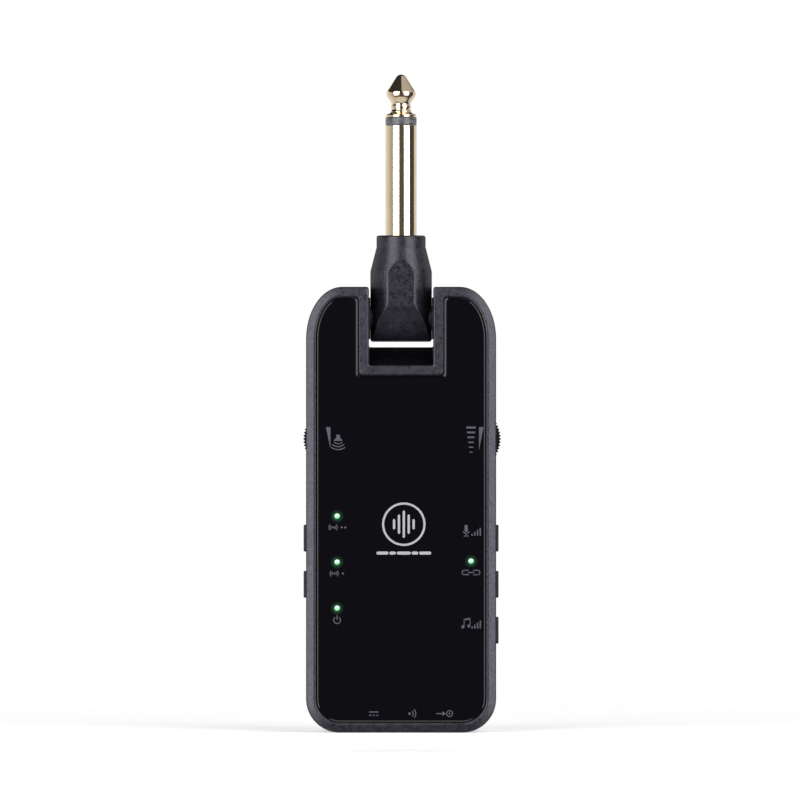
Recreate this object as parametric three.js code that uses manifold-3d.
// A plug-on wireless audio transmitter with a folding 6.35 mm jack plug, in millimetres, +Z up.
// The front faces -Y. The origin is the middle of the lower end, and Y = 0 is the middle of the case.
import * as THREE from 'three';
import { mergeVertices } from 'three/addons/utils/BufferGeometryUtils.js';
import Module from 'manifold-3d';

const wasm = await Module();
wasm.setup();

const QUARTER = Math.PI / 2;
const LEFT = -1;
const RIGHT = 1;
// Play between parts, how far a cutter reaches past what it cuts, and the facets of round parts.
const CLEARANCE = 0.1;
const TOUCH = 0.02;
const BEYOND = 1;
const FINE = 24;
const COARSE = 12;

// The case: two shells that part on a plane through the hinge, the wheels and the buttons.
const CASE = { width: 38.2, height: 89.6, depth: 16, wall: 1.6, edge: 1.6, seam: 0.3 };
const TOP_CORNER = { run: 7.26, rise: 10.5 };
const BOTTOM_CORNER = 6.8;
const SIDE = CASE.width / 2;
const FACE = CASE.depth / 2;
const FRONT_FLOOR = -5.5;
const REAR_FLOOR = 6.4;

// The glossy panel in its recess, and the notch between the ears that holds the hinge.
const RECESS = { inset: 1.95, floor: -6.7 };
const PANEL = { inset: 2.2, front: -7.85, bevelWidth: 0.42, bevelDepth: 0.2 };
const NOTCH = { half: 6.5, ridge: 77.6, drop: 3.9 };
const NOTCH_RIM = { half: 8.45, floor: 72 };
const EAR = { wall: 1.6, hollowFloor: 72 };

// The hinge and the arm that carries the plug. Heights in the arm are from the hinge axis.
const HINGE_HEIGHT = 83.3;
const ARM = { radius: 6.2, flat: 5.6, flatStart: 2.7, barrel: 4.72, boss: 2.9, seam: 0.2 };
const CONE = { start: 9.4, end: 14.1, endRadius: 5 };
const COLLAR = { radius: 4.95, start: 14.2, end: 16.7, edge: 0.4 };
const ARM_HOLLOW = { radius: 4.6, depth: 4.3, top: 11.7, barrel: 3.3 };
const PIN = { radius: 2.4, bore: 1.5, inner: 4.5, flange: 3.4, outer: 8.9, flangeWidth: 0.65 };
const WASHER = { radius: 4.2 };

// The 6.35 mm plug.
const SLEEVE = { radius: 3.175, bore: 1.95, tail: 3.1, start: 9.3, end: 38.9 };
const SLEEVE_FLANGE = { radius: 4.1, start: 12.6, end: 13.6 };
const INSULATOR = { end: 40.5, tube: 1.85, bore: 1.25, start: 8.6 };
const TIP = { rod: 1.15, start: 7.2, end: 49.2, flange: 3.1, bead: 2.05, waist: 1.9, ball: 3, shoulder: 2.6 };
const PLUG_NUT = { acrossFlats: 7.4, start: 10.3, end: 11.6 };
const TIP_LUG = { ring: 2.1, reach: 3.2, height: 7.8 };
const GROUND_LUG = { ring: 3.9, reach: 4.4, height: 9.7 };
const LUG = { half: 0.7, thickness: 0.4 };
const WIRE_RADIUS = 0.45;

// Thumbwheels and side buttons: heights from the lower end.
const WHEEL = { radius: 6.6, root: 6.34, teeth: 62, half: 1.1, height: 59, bore: 1.05, play: 0.35 };
const WHEEL_PROUD = { [LEFT]: 0.6, [RIGHT]: 1 };
const WHEEL_SCREW = { head: 1.6, headHeight: 0.5 };
const POTENTIOMETER = { half: 3.9, halfHeight: 4.5, ring: 1.6, hub: 1.1 };
const BUTTON = { half: 1.2, halfLength: 2.7, proud: 0.55, corner: 0.4, play: 0.2 };
const FLANGE = { half: 1.8, halfLength: 3.3, from: 1, to: 0.25 };
const BUTTONS = [
  { name: 'channel_up', side: LEFT, height: 39 },
  { name: 'channel_down', side: LEFT, height: 29.7 },
  { name: 'mode', side: RIGHT, height: 39 },
  { name: 'pair', side: RIGHT, height: 29.7 },
  { name: 'music', side: RIGHT, height: 20.45 },
];
const SWITCH = { inner: 12.6, outer: 15.9, half: 1.8, front: -1.2 };
const PLUNGER = { radius: 0.55, pocket: 0.75, reach: 0.4, pocketDepth: 0.9 };

// Lamps in the panel, and the screws that join the shells.
const LAMPS = [
  { name: 'channel_b', x: -12.86, height: 43.5 },
  { name: 'channel_a', x: -12.86, height: 34.25 },
  { name: 'power', x: -12.86, height: 25 },
  { name: 'link', x: 14.05, height: 34.45 },
];
const LENS = { radius: 0.65, hole: 0.75, flange: 1.1, flangeDepth: 0.6, front: -7.95, back: 1.3 };
const SCREWS = [
  { name: 'upper_left', x: -13, height: 74 },
  { name: 'upper_right', x: 13, height: 74 },
  { name: 'lower_left', x: -14.6, height: 6.2 },
  { name: 'lower_right', x: 14.6, height: 6.2 },
];
const SCREW = { radius: 1, head: 2, headFrom: 5.8, headTo: 7, tip: -4.2, point: 1, sink: 5.7, boss: 2.4 };
const DRIVE = { reach: 1.1, half: 0.25, depth: 0.5 };

// The circuit board, the cell behind it, and the ports on the lower end.
const BOARD = { front: 2.2, back: 3.2, half: 16.9, foot: 10, top: 70, tongue: 11.5, tongueFoot: 2 };
const LEDGE = { inner: 15.4, half: 1.2, heights: [13, 67] };
const CELL = { half: 14, bottom: 13, top: 58, front: 3.5, back: 6.2, corner: 1.2 };
const PAD = { half: 10, bottom: 20, top: 50 };
const ANTENNA = { half: 5, front: 0.6, thickness: 0.3, bottom: 66, top: 67.2 };
const ANTENNA_FEET = { width: 0.8, starts: [-4.6, -2.6] };
const LAMP_CHIP = { halfWidth: 0.8, front: 1.5, halfHeight: 0.4 };
const USB = { x: -5.5, y: 0.5, width: 8.94, height: 3.26, wall: 0.3, start: 0.3, end: 7.6 };
const USB_TONGUE = { half: 3.3, halfThickness: 0.35, start: 0.9, end: 6.8 };
const LINE_IN = { x: 8.5, y: -0.6, nose: 2.5, bore: 1.8, start: 0.3 };
const LINE_IN_BODY = { half: 3, halfDepth: 2.7, start: 1.9, end: 14 };
const INFRARED = { x: 2.3, radius: 1.5, edge: 0.3, flange: 0.6, start: 0.15, end: 2.4 };

// Finishes.
const MATTE_CASE = { color: 0x2c2c31, roughness: 0.72, metalness: 0 };
const GLOSS_PANEL = { color: 0x0c0c12, roughness: 0.12, metalness: 0 };
const BLACK_PLASTIC = { color: 0x1b1b1f, roughness: 0.55, metalness: 0 };
const GOLD = { color: 0xd8b67c, roughness: 0.16, metalness: 1 };
const STEEL = { color: 0x9a9ca0, roughness: 0.35, metalness: 1 };
const BRASS = { color: 0xb79a52, roughness: 0.35, metalness: 1 };
const INSULATION = { color: 0x242428, roughness: 0.45, metalness: 0 };
const GREEN_LENS = { color: 0xbdf5cf, roughness: 0.2, metalness: 0 };
const BOARD_GREEN = { color: 0x1d5a38, roughness: 0.5, metalness: 0 };
const CELL_SILVER = { color: 0xb9bcc2, roughness: 0.4, metalness: 0.6 };
const FOAM = { color: 0xe4e2da, roughness: 0.9, metalness: 0 };
const WIRE_RED = { color: 0xa92a25, roughness: 0.5, metalness: 0 };
const WIRE_BLACK = { color: 0x18181a, roughness: 0.5, metalness: 0 };

// The parts on the board: where each one stands, and how far it comes forward.
const CHIPS = [
  { name: 'radio_module', x: 0, width: 11, front: 0.2, bottom: 45, top: 60, finish: STEEL },
  { name: 'processor_chip', x: 0, width: 7, front: 1.3, bottom: 26, top: 33, finish: BLACK_PLASTIC },
  { name: 'charge_chip', x: -4.75, width: 3.5, front: 1.4, bottom: 14, top: 17.5, finish: BLACK_PLASTIC },
  { name: 'ir_receiver', x: INFRARED.x, width: 4.4, front: -1.4, bottom: 3, top: 8, finish: BLACK_PLASTIC },
];

// Geometry helpers.

function solid(geometry) {
  const bare = geometry.clone();
  bare.deleteAttribute('normal');
  bare.deleteAttribute('uv');
  const merged = mergeVertices(bare);
  const corners = [...merged.index.array];
  const kept = [];
  for (let i = 0; i < corners.length; i += 3) {
    const [a, b, c] = corners.slice(i, i + 3);
    if (a !== b && b !== c && c !== a) kept.push(a, b, c);
  }
  const vertProperties = new Float32Array(merged.attributes.position.array);
  const triVerts = new Uint32Array(kept);
  return new wasm.Manifold(new wasm.Mesh({ numProp: 3, vertProperties, triVerts }));
}

function surface(body) {
  const { vertProperties, triVerts } = body.getMesh();
  const geometry = new THREE.BufferGeometry();
  geometry.setAttribute('position', new THREE.BufferAttribute(new Float32Array(vertProperties), 3));
  geometry.setIndex(new THREE.BufferAttribute(new Uint32Array(triVerts), 1));
  return geometry;
}

function cut(body, ...tools) {
  return tools.reduce((rest, tool) => rest.subtract(tool), body);
}

function join(body, ...others) {
  return others.reduce((whole, other) => whole.add(other), body);
}

function block(x0, x1, y0, y1, z0, z1) {
  const box = new THREE.BoxGeometry(x1 - x0, y1 - y0, z1 - z0);
  return box.translate((x0 + x1) / 2, (y0 + y1) / 2, (z0 + z1) / 2);
}

function alongAxis(geometry, axis) {
  if (axis === 'x') return geometry.rotateZ(-QUARTER);
  if (axis === 'z') return geometry.rotateX(QUARTER);
  return geometry;
}

function rod(axis, radius, from, to, sides = COARSE) {
  const cylinder = new THREE.CylinderGeometry(radius, radius, to - from, sides);
  return alongAxis(cylinder.translate(0, (from + to) / 2, 0), axis);
}

// A turned piece: [radius, height] corners, going outwards at the bottom and inwards at the top.
function turned(axis, corners, sides = COARSE) {
  const profile = corners.map(([radius, height]) => new THREE.Vector2(radius, height));
  if (corners[0][0] > 0) profile.push(profile[0].clone());
  return alongAxis(new THREE.LatheGeometry(profile, sides), axis);
}

function tube(axis, bore, radius, from, to, sides = COARSE) {
  return turned(axis, [[bore, from], [radius, from], [radius, to], [bore, to]], sides);
}

// A plate in the XZ plane, from the front face at y = front to the rear face at y = back.
function plate(outline, front, back) {
  const options = { depth: back - front, bevelEnabled: false, curveSegments: 6 };
  return new THREE.ExtrudeGeometry(outline, options).rotateX(QUARTER).translate(0, back, 0);
}

// A bar whose section lies in the YZ plane, from x = from to x = to.
function bar(section, from, to, curveSegments = 8) {
  const options = { depth: to - from, bevelEnabled: false, curveSegments };
  const axes = new THREE.Matrix4().makeBasis(
    new THREE.Vector3(0, 1, 0),
    new THREE.Vector3(0, 0, 1),
    new THREE.Vector3(1, 0, 0),
  );
  return new THREE.ExtrudeGeometry(section, options).applyMatrix4(axes).translate(from, 0, 0);
}

function roundedBox(halfX, halfY, corner) {
  const outline = new THREE.Shape();
  outline.moveTo(halfX, corner - halfY);
  outline.absarc(halfX - corner, halfY - corner, corner, 0, QUARTER);
  outline.absarc(corner - halfX, halfY - corner, corner, QUARTER, Math.PI);
  outline.absarc(corner - halfX, corner - halfY, corner, Math.PI, 3 * QUARTER);
  outline.absarc(halfX - corner, corner - halfY, corner, 3 * QUARTER, 4 * QUARTER);
  return outline;
}

function polygon(corners) {
  return new THREE.Shape(corners.map(([x, y]) => new THREE.Vector2(x, y)));
}

function piece(name, geometry, finish) {
  const mesh = new THREE.Mesh(geometry, new THREE.MeshStandardMaterial(finish));
  mesh.name = name;
  return mesh;
}

function placed(object, x, y, z) {
  object.position.set(x, y, z);
  return object;
}

// The outline of the case, drawn inwards by an inset, with the notch cut out where one is given.
function caseOutline(inset, notch) {
  const side = SIDE - inset;
  const top = CASE.height - inset;
  const run = TOP_CORNER.run - inset;
  const rise = TOP_CORNER.rise - inset;
  const foot = BOTTOM_CORNER - inset;
  const outline = new THREE.Shape();
  outline.moveTo(side, inset + foot);
  outline.lineTo(side, top - rise);
  outline.absellipse(side - run, top - rise, run, rise, 0, QUARTER);
  if (notch) {
    outline.lineTo(notch.half, top);
    outline.lineTo(notch.half, notch.floor);
    outline.lineTo(-notch.half, notch.floor);
    outline.lineTo(-notch.half, top);
  }
  outline.absellipse(run - side, top - rise, run, rise, QUARTER, Math.PI);
  outline.absarc(foot - side, inset + foot, foot, Math.PI, 3 * QUARTER);
  outline.absarc(side - foot, inset + foot, foot, 3 * QUARTER, 4 * QUARTER);
  return outline;
}

// The case with its rounded edges, before it is hollowed.
function caseBlank() {
  const options = {
    depth: CASE.depth - 2 * CASE.edge,
    bevelThickness: CASE.edge,
    bevelSize: CASE.edge,
    bevelOffset: -CASE.edge,
    bevelSegments: 2,
    curveSegments: 6,
  };
  const blank = new THREE.ExtrudeGeometry(caseOutline(0), options);
  return solid(blank.rotateX(QUARTER).translate(0, FACE - CASE.edge, 0));
}

// The floor of the notch is a ridge that falls away to both faces.
function notchTool() {
  const reach = FACE + BEYOND;
  const foot = NOTCH.ridge - (NOTCH.drop * reach) / FACE;
  const section = polygon([
    [-reach, foot],
    [0, NOTCH.ridge],
    [reach, foot],
    [reach, CASE.height + BEYOND],
    [-reach, CASE.height + BEYOND],
  ]);
  return solid(bar(section, -NOTCH.half, NOTCH.half));
}

function caseHollow() {
  const cavity = solid(plate(caseOutline(CASE.wall), FRONT_FLOOR, REAR_FLOOR));
  const ear = NOTCH.half + EAR.wall;
  return cut(cavity, solid(block(-ear, ear, -FACE, FACE, EAR.hollowFloor, CASE.height)));
}

function screwBosses() {
  return SCREWS.map(({ x, height }) => {
    const column = rod('y', SCREW.boss, FRONT_FLOOR - CLEARANCE, REAR_FLOOR + CLEARANCE);
    return solid(column.translate(x, 0, height));
  });
}

function boardLedges() {
  const ledges = [];
  for (const height of LEDGE.heights) {
    for (const side of [LEFT, RIGHT]) {
      const reach = (SIDE - CASE.wall + CLEARANCE - LEDGE.inner) / 2;
      const [front, back] = [BOARD.back + CLEARANCE, REAR_FLOOR + CLEARANCE];
      const ledge = block(-reach, reach, front, back, -LEDGE.half, LEDGE.half);
      ledges.push(solid(ledge.translate(side * (LEDGE.inner + reach), 0, height)));
    }
  }
  return ledges;
}

function wheelCentre(side) {
  return side * (SIDE + WHEEL_PROUD[side] - WHEEL.radius);
}

// Openings that both shells share: hinge, wheels, buttons, ports and screws.
function sharedOpenings() {
  const pivots = rod('x', PIN.radius + 2 * CLEARANCE, -PIN.outer, PIN.outer, FINE);
  const tools = [solid(pivots.translate(0, 0, HINGE_HEIGHT)), ...wheelSlots(), ...buttonSlots()];
  tools.push(solid(usbSection(2 * CLEARANCE, CASE.wall + 2 * BEYOND).translate(USB.x, USB.y, -BEYOND)));
  const nose = rod('z', LINE_IN.nose + CLEARANCE, -BEYOND, CASE.wall + BEYOND, FINE);
  tools.push(solid(nose.translate(LINE_IN.x, LINE_IN.y, 0)));
  const window = rod('z', INFRARED.radius + CLEARANCE, -BEYOND, CASE.wall + CLEARANCE);
  tools.push(solid(window.translate(INFRARED.x, 0, 0)));
  for (const { x, height } of SCREWS) {
    const shank = rod('y', SCREW.radius + CLEARANCE / 2, SCREW.tip - 2 * CLEARANCE, FACE + BEYOND);
    const head = rod('y', SCREW.head + 2 * CLEARANCE, SCREW.sink, FACE + BEYOND);
    tools.push(solid(shank.translate(x, 0, height)), solid(head.translate(x, 0, height)));
  }
  return tools;
}

function wheelSlots() {
  const radius = WHEEL.radius + WHEEL.play;
  const half = WHEEL.half + WHEEL.play;
  return [LEFT, RIGHT].map((side) => {
    const slot = rod('y', radius, -half, half, FINE);
    return solid(slot.translate(wheelCentre(side), 0, WHEEL.height));
  });
}

function buttonSlots() {
  const { half, halfLength, play } = BUTTON;
  return BUTTONS.map(({ side, height }) => {
    const deep = half + play;
    const high = halfLength + play;
    const slot = block(-CASE.wall, CASE.wall, -deep, deep, -high, high);
    return solid(slot.translate(side * (SIDE - CASE.wall / 4), 0, height));
  });
}

function usbSection(margin, length) {
  const halfX = USB.width / 2 + margin;
  const halfY = USB.height / 2 + margin;
  const options = { depth: length, bevelEnabled: false, curveSegments: 4 };
  return new THREE.ExtrudeGeometry(roundedBox(halfX, halfY, halfY - 0.05), options);
}

function lensHoles(front, back) {
  return LAMPS.map(({ x, height }) => solid(rod('y', LENS.hole, front, back).translate(x, 0, height)));
}

const hollowCase = join(cut(caseBlank(), notchTool(), caseHollow()), ...screwBosses(), ...boardLedges());

// Everything between two depths, used to part a body into a front and a rear half.
function halfSpace(front, back) {
  const reach = CASE.height + BEYOND;
  return solid(block(-reach, reach, front, back, -reach, reach));
}

function frontShell() {
  const recess = solid(plate(caseOutline(RECESS.inset, NOTCH_RIM), -FACE - BEYOND, RECESS.floor));
  const holes = lensHoles(RECESS.floor - BEYOND, FRONT_FLOOR + BEYOND);
  const half = halfSpace(-FACE - BEYOND, -CASE.seam / 2);
  const shell = cut(hollowCase.intersect(half), recess, ...sharedOpenings(), ...holes);
  return piece('front_shell', surface(shell), MATTE_CASE);
}

function rearShell() {
  const half = halfSpace(CASE.seam / 2, FACE + BEYOND);
  const shell = cut(hollowCase.intersect(half), ...sharedOpenings());
  return piece('rear_shell', surface(shell), MATTE_CASE);
}

// The panel's front edge is stepped back all round, along the notch too.
function facePanel() {
  const gap = PANEL.inset - RECESS.inset;
  const notch = { half: NOTCH_RIM.half + gap, floor: NOTCH_RIM.floor - gap };
  const face = { half: notch.half + PANEL.bevelWidth, floor: notch.floor - PANEL.bevelWidth };
  const slab = solid(plate(caseOutline(PANEL.inset, notch), PANEL.front + PANEL.bevelDepth, RECESS.floor));
  const crown = solid(plate(caseOutline(PANEL.inset + PANEL.bevelWidth, face), PANEL.front, RECESS.floor));
  const panel = cut(join(slab, crown), ...lensHoles(PANEL.front - BEYOND, RECESS.floor + BEYOND));
  return piece('face_panel', surface(panel), GLOSS_PANEL);
}

function lightPipe({ name, x, height }) {
  const flangeFront = FRONT_FLOOR + CLEARANCE;
  const flangeBack = flangeFront + LENS.flangeDepth;
  const pipe = turned('y', [
    [0, LENS.front],
    [LENS.radius, LENS.front],
    [LENS.radius, flangeFront],
    [LENS.flange, flangeFront],
    [LENS.flange, flangeBack],
    [LENS.radius, flangeBack],
    [LENS.radius, LENS.back],
    [0, LENS.back],
  ]);
  return placed(piece(`${name}_light_pipe`, pipe, GREEN_LENS), x, 0, height);
}

function lampChip({ name, x, height }) {
  const { halfWidth, front, halfHeight } = LAMP_CHIP;
  const chip = block(-halfWidth, halfWidth, front, BOARD.front, -halfHeight, halfHeight);
  return placed(piece(`${name}_led`, chip, FOAM), x, 0, height);
}

// The board, the parts on it and the cell.

function mainBoard() {
  const { half, tongue, foot, tongueFoot, top } = BOARD;
  const outline = polygon([
    [-tongue, tongueFoot],
    [tongue, tongueFoot],
    [tongue, foot],
    [half, foot],
    [half, top],
    [-half, top],
    [-half, foot],
    [-tongue, foot],
  ]);
  return piece('main_board', plate(outline, BOARD.front, BOARD.back), BOARD_GREEN);
}

function boardParts() {
  const mounted = CHIPS.map(({ name, x, width, front, bottom, top, finish }) => {
    const shape = block(x - width / 2, x + width / 2, front, BOARD.front - TOUCH, bottom, top);
    return piece(name, shape, finish);
  });
  return [...mounted, piece('antenna', antennaStrip(), BRASS)];
}

// An inverted-F strip that stands on the board by two feet.
function antennaStrip() {
  const { half, front, thickness, bottom, top } = ANTENNA;
  const { width, starts } = ANTENNA_FEET;
  const strip = solid(block(-half, half, front, front + thickness, bottom, top));
  const feet = starts.map((x) => solid(block(x, x + width, front, BOARD.front, bottom, top)));
  return surface(join(strip, ...feet));
}

function cellAndPad() {
  const { half, bottom, top, front, back, corner } = CELL;
  const options = { depth: top - bottom, bevelEnabled: false, curveSegments: 4 };
  const section = roundedBox(half, (back - front) / 2, corner);
  const cell = new THREE.ExtrudeGeometry(section, options).translate(0, (front + back) / 2, bottom);
  const pad = block(-PAD.half, PAD.half, BOARD.back + TOUCH, front - TOUCH, PAD.bottom, PAD.top);
  return [piece('battery_cell', cell, CELL_SILVER), piece('battery_pad', pad, FOAM)];
}

function chargePort() {
  const { half, halfThickness, start, end } = USB_TONGUE;
  const length = USB.end - USB.start;
  const outer = solid(usbSection(0, length));
  const mouth = solid(usbSection(-USB.wall, length).translate(0, 0, -BEYOND));
  const tongue = solid(block(-half, half, -halfThickness, halfThickness, start, end));
  const port = join(cut(outer, mouth), tongue);
  return placed(piece('charge_port', surface(port), STEEL), USB.x, USB.y, USB.start);
}

function lineInJack() {
  const { half, halfDepth, start, end } = LINE_IN_BODY;
  const housing = solid(block(-half, half, -halfDepth, halfDepth, start, end));
  const collar = solid(rod('z', LINE_IN.nose, LINE_IN.start, start + BEYOND));
  const hole = solid(rod('z', LINE_IN.bore, LINE_IN.start - BEYOND, end - BEYOND));
  const jack = cut(join(housing, collar), hole);
  return placed(piece('line_in_jack', surface(jack), BLACK_PLASTIC), LINE_IN.x, LINE_IN.y, 0);
}

function infraredWindow() {
  const { radius, edge, flange, start, end } = INFRARED;
  const shoulder = CASE.wall + CLEARANCE;
  const lens = turned('z', [
    [0, start],
    [radius - edge, start],
    [radius, start + edge],
    [radius, shoulder],
    [radius + flange, shoulder],
    [radius + flange, end],
    [0, end],
  ]);
  return placed(piece('ir_window', lens, GLOSS_PANEL), INFRARED.x, 0, 0);
}

function shellScrew({ name, x, height }) {
  const { reach, half, depth } = DRIVE;
  const floor = SCREW.headTo - depth;
  const drive = solid(block(-reach, reach, floor, FACE, -half, half));
  const crossDrive = solid(block(-half, half, floor, FACE, -reach, reach));
  const blank = turned('y', [
    [0, SCREW.tip],
    [SCREW.radius, SCREW.tip + SCREW.point],
    [SCREW.radius, SCREW.headFrom],
    [SCREW.head, SCREW.headFrom],
    [SCREW.head, floor],
    [SCREW.head - depth, SCREW.headTo],
    [0, SCREW.headTo],
  ]);
  const screw = cut(solid(blank), drive, crossDrive);
  return placed(piece(`shell_screw_${name}`, surface(screw), STEEL), x, 0, height);
}

// Thumbwheels, on the potentiometers that they turn.

function thumbwheel(name, side) {
  const corners = [];
  for (let i = 0; i < 2 * WHEEL.teeth; i += 1) {
    const angle = (Math.PI * i) / WHEEL.teeth;
    const radius = i % 2 ? WHEEL.root : WHEEL.radius;
    corners.push([radius * Math.cos(angle), radius * Math.sin(angle)]);
  }
  const outline = polygon(corners);
  outline.holes.push(new THREE.Path().absarc(0, 0, WHEEL.bore, 0, 2 * Math.PI, true));
  const { head, headHeight } = WHEEL_SCREW;
  const seat = -WHEEL.half - TOUCH;
  const shank = WHEEL.bore - CLEARANCE;
  const screw = turned('y', [
    [0, seat - headHeight],
    [head, seat - headHeight],
    [head, seat],
    [shank, seat],
    [shank, WHEEL.half + CLEARANCE],
    [0, WHEEL.half + CLEARANCE],
  ]);
  const group = new THREE.Group();
  group.add(piece(`${name}_wheel`, plate(outline, -WHEEL.half, WHEEL.half), BLACK_PLASTIC));
  group.add(piece(`${name}_wheel_screw`, screw, STEEL));
  return placed(group, wheelCentre(side), 0, WHEEL.height);
}

function potentiometer(name, side) {
  const { half, halfHeight, ring, hub } = POTENTIOMETER;
  const face = WHEEL.half + CLEARANCE;
  const wafer = solid(block(-half, half, face + 2 * CLEARANCE, BOARD.front, -halfHeight, halfHeight));
  const boss = solid(rod('y', ring, face, BOARD.front - CLEARANCE));
  const hole = solid(rod('y', hub, 0, face + CLEARANCE));
  const pot = cut(join(wafer, boss), hole);
  return placed(piece(`${name}_pot`, surface(pot), STEEL), wheelCentre(side), 0, WHEEL.height);
}

// Side buttons: a cap with an inner flange, and a plunger that runs in its switch.

function buttonCap({ name, side, height }) {
  const inner = SIDE - CASE.wall;
  const { half, halfLength, from, to } = FLANGE;
  const cap = roundedBox(BUTTON.half, BUTTON.halfLength, BUTTON.corner);
  const head = solid(bar(cap, inner - from, SIDE + BUTTON.proud, 3));
  const flange = solid(block(inner - from, inner - to, -half, half, -halfLength, halfLength));
  const plunger = solid(rod('x', PLUNGER.radius, SWITCH.outer - PLUNGER.reach, inner - to));
  const shape = surface(join(head, flange, plunger));
  if (side === LEFT) shape.rotateY(Math.PI);
  return placed(piece(`${name}_button`, shape, BLACK_PLASTIC), 0, 0, height);
}

function sideSwitch({ name, side, height }) {
  const { inner, outer, half, front } = SWITCH;
  const { pocket, pocketDepth } = PLUNGER;
  const body = solid(block(inner, outer, front, BOARD.front, -half, half));
  const hole = solid(rod('x', pocket, outer - pocketDepth, outer + BEYOND));
  const shape = surface(cut(body, hole));
  if (side === LEFT) shape.rotateY(Math.PI);
  return placed(piece(`${name}_switch`, shape, BLACK_PLASTIC), 0, 0, height);
}

// The folding arm.

function armBlank() {
  const turnedBody = turned('z', [
    [0, -ARM.barrel],
    [ARM.radius, -ARM.barrel],
    [ARM.radius, CONE.start],
    [CONE.endRadius, CONE.end],
    [0, CONE.end],
  ], FINE);
  const side = new THREE.Shape();
  side.moveTo(ARM.flat, CONE.end + BEYOND);
  side.lineTo(-ARM.flat, CONE.end + BEYOND);
  side.lineTo(-ARM.flat, ARM.flatStart);
  side.quadraticCurveTo(-ARM.barrel, ARM.flatStart / 2, -ARM.barrel, 0);
  side.absarc(0, 0, ARM.barrel, Math.PI, 4 * QUARTER);
  side.quadraticCurveTo(ARM.barrel, ARM.flatStart / 2, ARM.flat, ARM.flatStart);
  const reach = ARM.radius + BEYOND;
  const profiled = solid(turnedBody).intersect(solid(bar(side, -reach, reach)));
  return join(profiled, solid(rod('x', ARM.boss, -ARM.radius, ARM.radius, FINE)));
}

function armHollow() {
  const { radius, depth, top, barrel } = ARM_HOLLOW;
  const shaft = solid(rod('z', radius, 0, top, FINE));
  const wide = shaft.intersect(solid(block(-radius, radius, -depth, depth, barrel, top)));
  const narrow = shaft.intersect(solid(block(-radius, radius, -barrel, barrel, 0, top)));
  const neck = solid(rod('z', SLEEVE.radius + CLEARANCE, top - BEYOND, CONE.end + BEYOND, FINE));
  const flange = SLEEVE_FLANGE;
  const groove = rod('z', flange.radius + CLEARANCE, flange.start - CLEARANCE, flange.end + CLEARANCE, FINE);
  const chamber = solid(rod('x', barrel, -radius, radius, FINE));
  const reach = ARM.radius + BEYOND;
  const pins = solid(rod('x', PIN.radius + CLEARANCE / 2, -reach, reach, FINE));
  return join(wide, narrow, neck, solid(groove), chamber, pins);
}

function hingeHousing() {
  const housing = armBlank().subtract(armHollow());
  const front = housing.intersect(halfSpace(-FACE, -ARM.seam / 2));
  const rear = housing.intersect(halfSpace(ARM.seam / 2, FACE));
  return [
    piece('hinge_housing_front', surface(front), MATTE_CASE),
    piece('hinge_housing_rear', surface(rear), MATTE_CASE),
  ];
}

function plugCollar() {
  const { radius, start, end, edge } = COLLAR;
  const bore = SLEEVE.radius + CLEARANCE;
  const ring = turned('z', [
    [bore, start],
    [radius, start],
    [radius, end - edge],
    [radius - edge, end],
    [bore, end],
  ], FINE);
  return piece('plug_collar', ring, MATTE_CASE);
}

// Each pin is hollow: the plug's wires pass through it into the case.
function pivotPin(name, side) {
  const { radius, bore, inner, flange, outer, flangeWidth } = PIN;
  const pin = turned('x', [
    [bore, inner],
    [radius, inner],
    [radius, outer - flangeWidth],
    [flange, outer - flangeWidth],
    [flange, outer],
    [bore, outer],
  ], FINE);
  if (side === LEFT) pin.rotateY(Math.PI);
  return piece(`pivot_pin_${name}`, pin, STEEL);
}

function hingeWasher(name, side) {
  const bore = PIN.radius + CLEARANCE;
  const washer = tube('x', bore, WASHER.radius, ARM.radius + TOUCH, NOTCH.half - TOUCH, FINE);
  if (side === LEFT) washer.rotateY(Math.PI);
  return placed(piece(`hinge_washer_${name}`, washer, BLACK_PLASTIC), 0, 0, HINGE_HEIGHT);
}

function plugSleeve() {
  const { radius, bore, tail, start, end } = SLEEVE;
  const sleeve = turned('z', [
    [bore, start],
    [tail, start],
    [tail, SLEEVE_FLANGE.start],
    [SLEEVE_FLANGE.radius, SLEEVE_FLANGE.start],
    [SLEEVE_FLANGE.radius, SLEEVE_FLANGE.end],
    [radius, SLEEVE_FLANGE.end],
    [radius, end],
    [bore, end],
  ], FINE);
  return piece('plug_sleeve', sleeve, GOLD);
}

function plugInsulator() {
  const { end, tube: tubeRadius, bore, start } = INSULATOR;
  const shoulder = SLEEVE.end + TOUCH;
  const insulator = turned('z', [
    [bore, start],
    [tubeRadius, start],
    [tubeRadius, shoulder],
    [SLEEVE.radius, shoulder],
    [SLEEVE.radius, end],
    [bore, end],
  ], FINE);
  return piece('plug_insulator', insulator, INSULATION);
}

// The tip: a flange, a bead, a waist, a ball and a cone with a blunt point.
function plugTip() {
  const seat = INSULATOR.end + TOUCH;
  const tip = turned('z', [
    [0, TIP.start],
    [TIP.rod, TIP.start],
    [TIP.rod, seat],
    [TIP.flange, seat],
    [TIP.flange, seat + 0.5],
    [TIP.bead, seat + 1.1],
    [TIP.waist, seat + 1.6],
    [TIP.bead, seat + 2.1],
    [TIP.waist, seat + 2.65],
    [TIP.ball - 0.35, seat + 3.85],
    [TIP.ball, seat + 4.75],
    [TIP.shoulder, seat + 5.7],
    [TIP.rod, TIP.end - 0.6],
    [TIP.rod / 2, TIP.end - CLEARANCE],
    [0, TIP.end],
  ], FINE);
  return piece('plug_tip', tip, GOLD);
}

function plugNut() {
  const { acrossFlats, start, end } = PLUG_NUT;
  const corner = acrossFlats / 2 / Math.cos(Math.PI / 6);
  const hole = rod('z', SLEEVE.tail + CLEARANCE / 2, start - BEYOND, end + BEYOND, FINE);
  const nut = cut(solid(rod('z', corner, start, end, 6)), solid(hole));
  return piece('plug_nut', surface(nut), BRASS);
}

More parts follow.
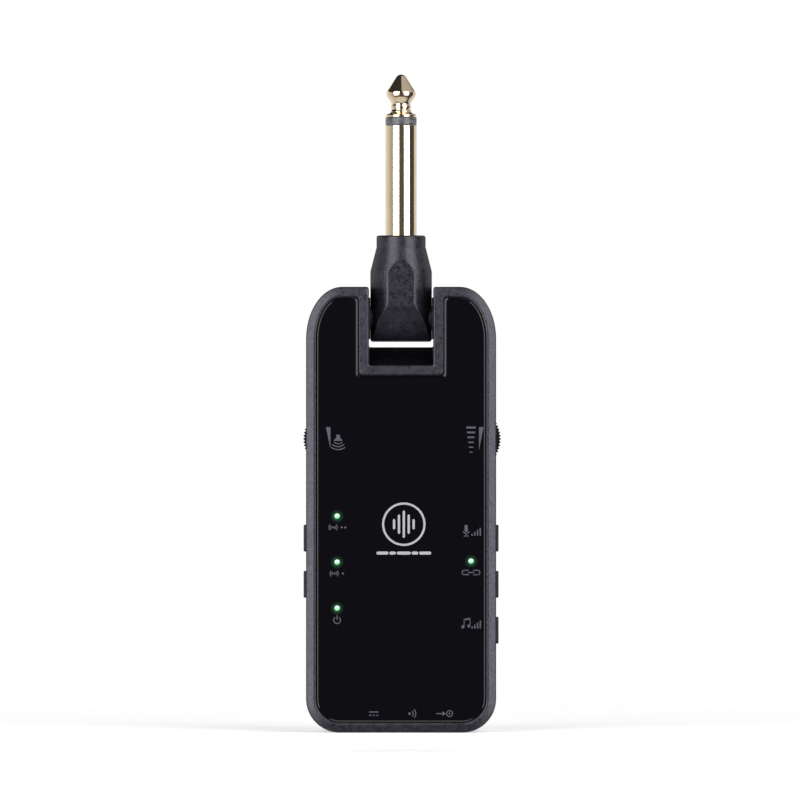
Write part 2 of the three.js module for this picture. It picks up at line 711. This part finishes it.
// A ring with a tail that a wire is soldered to.
function solderLug(name, shaft, { ring, reach, height }, side) {
  const bore = shaft + CLEARANCE / 2;
  const top = height + LUG.thickness;
  const washer = solid(tube('z', bore, ring, height, top, FINE));
  const tail = solid(block(0, reach, -LUG.half, LUG.half, height, top));
  const hole = solid(rod('z', bore, height - BEYOND, top + BEYOND, FINE));
  const lug = surface(join(washer, cut(tail, hole)));
  if (side === LEFT) lug.rotateZ(Math.PI);
  return piece(name, lug, BRASS);
}

function wire(name, points, finish) {
  const route = new THREE.CatmullRomCurve3(points.map(([x, y, z]) => new THREE.Vector3(x, y, z)));
  const section = new THREE.Shape().absarc(0, 0, WIRE_RADIUS, 0, 2 * Math.PI);
  const options = { steps: 12, extrudePath: route, curveSegments: 4, bevelEnabled: false };
  return piece(name, new THREE.ExtrudeGeometry(section, options), finish);
}

// The upper wires run from the lugs into the pins, and turn with the arm.
function upperWires() {
  const tip = [[2.2, 0, 7.2], [2.9, 0, 4], [3.6, 0, 1.2], [5, 0, 0.1], [6.4, 0, 0], [8, 0, 0]];
  const ground = [[-3.8, 0, 9.2], [-3.9, 0, 5], [-3.8, 0, 1.6], [-5, 0, 0.1], [-6.4, 0, 0], [-8, 0, 0]];
  return [wire('tip_wire_upper', tip, WIRE_RED), wire('ground_wire_upper', ground, WIRE_BLACK)];
}

// The lower wires run from the pins down to the board, and stay still.
function lowerWires() {
  const route = (side) => [
    [side * 8.4, 0, HINGE_HEIGHT],
    [side * 9.6, 0.2, HINGE_HEIGHT - 0.4],
    [side * 10, 0.7, HINGE_HEIGHT - 3],
    [side * 9.6, 1.3, 76],
    [side * 9.4, 1.6, 71],
    [side * 9, 1.65, 68],
  ];
  return [
    wire('tip_wire_lower', route(RIGHT), WIRE_RED),
    wire('ground_wire_lower', route(LEFT), WIRE_BLACK),
  ];
}

function plugArm() {
  const arm = new THREE.Group();
  arm.add(...hingeHousing());
  arm.add(plugCollar());
  arm.add(pivotPin('left', LEFT), pivotPin('right', RIGHT));
  arm.add(plugSleeve(), plugInsulator(), plugTip(), plugNut());
  arm.add(solderLug('tip_lug', TIP.rod, TIP_LUG, RIGHT));
  arm.add(solderLug('ground_lug', SLEEVE.tail, GROUND_LUG, LEFT));
  arm.add(...upperWires());
  return placed(arm, 0, 0, HINGE_HEIGHT);
}

function handset() {
  const group = new THREE.Group();
  group.add(frontShell(), rearShell(), facePanel());
  group.add(...LAMPS.map(lightPipe), ...LAMPS.map(lampChip));
  group.add(mainBoard(), ...boardParts(), ...cellAndPad());
  group.add(chargePort(), lineInJack(), infraredWindow());
  group.add(potentiometer('volume', LEFT), potentiometer('echo', RIGHT));
  group.add(...BUTTONS.map(sideSwitch), ...SCREWS.map(shellScrew));
  group.add(hingeWasher('left', LEFT), hingeWasher('right', RIGHT));
  group.add(...lowerWires());
  return group;
}

const transmitter = new THREE.Group();
transmitter.add(handset(), plugArm());
transmitter.add(thumbwheel('volume', LEFT), thumbwheel('echo', RIGHT));
transmitter.add(...BUTTONS.map(buttonCap));

export default transmitter;
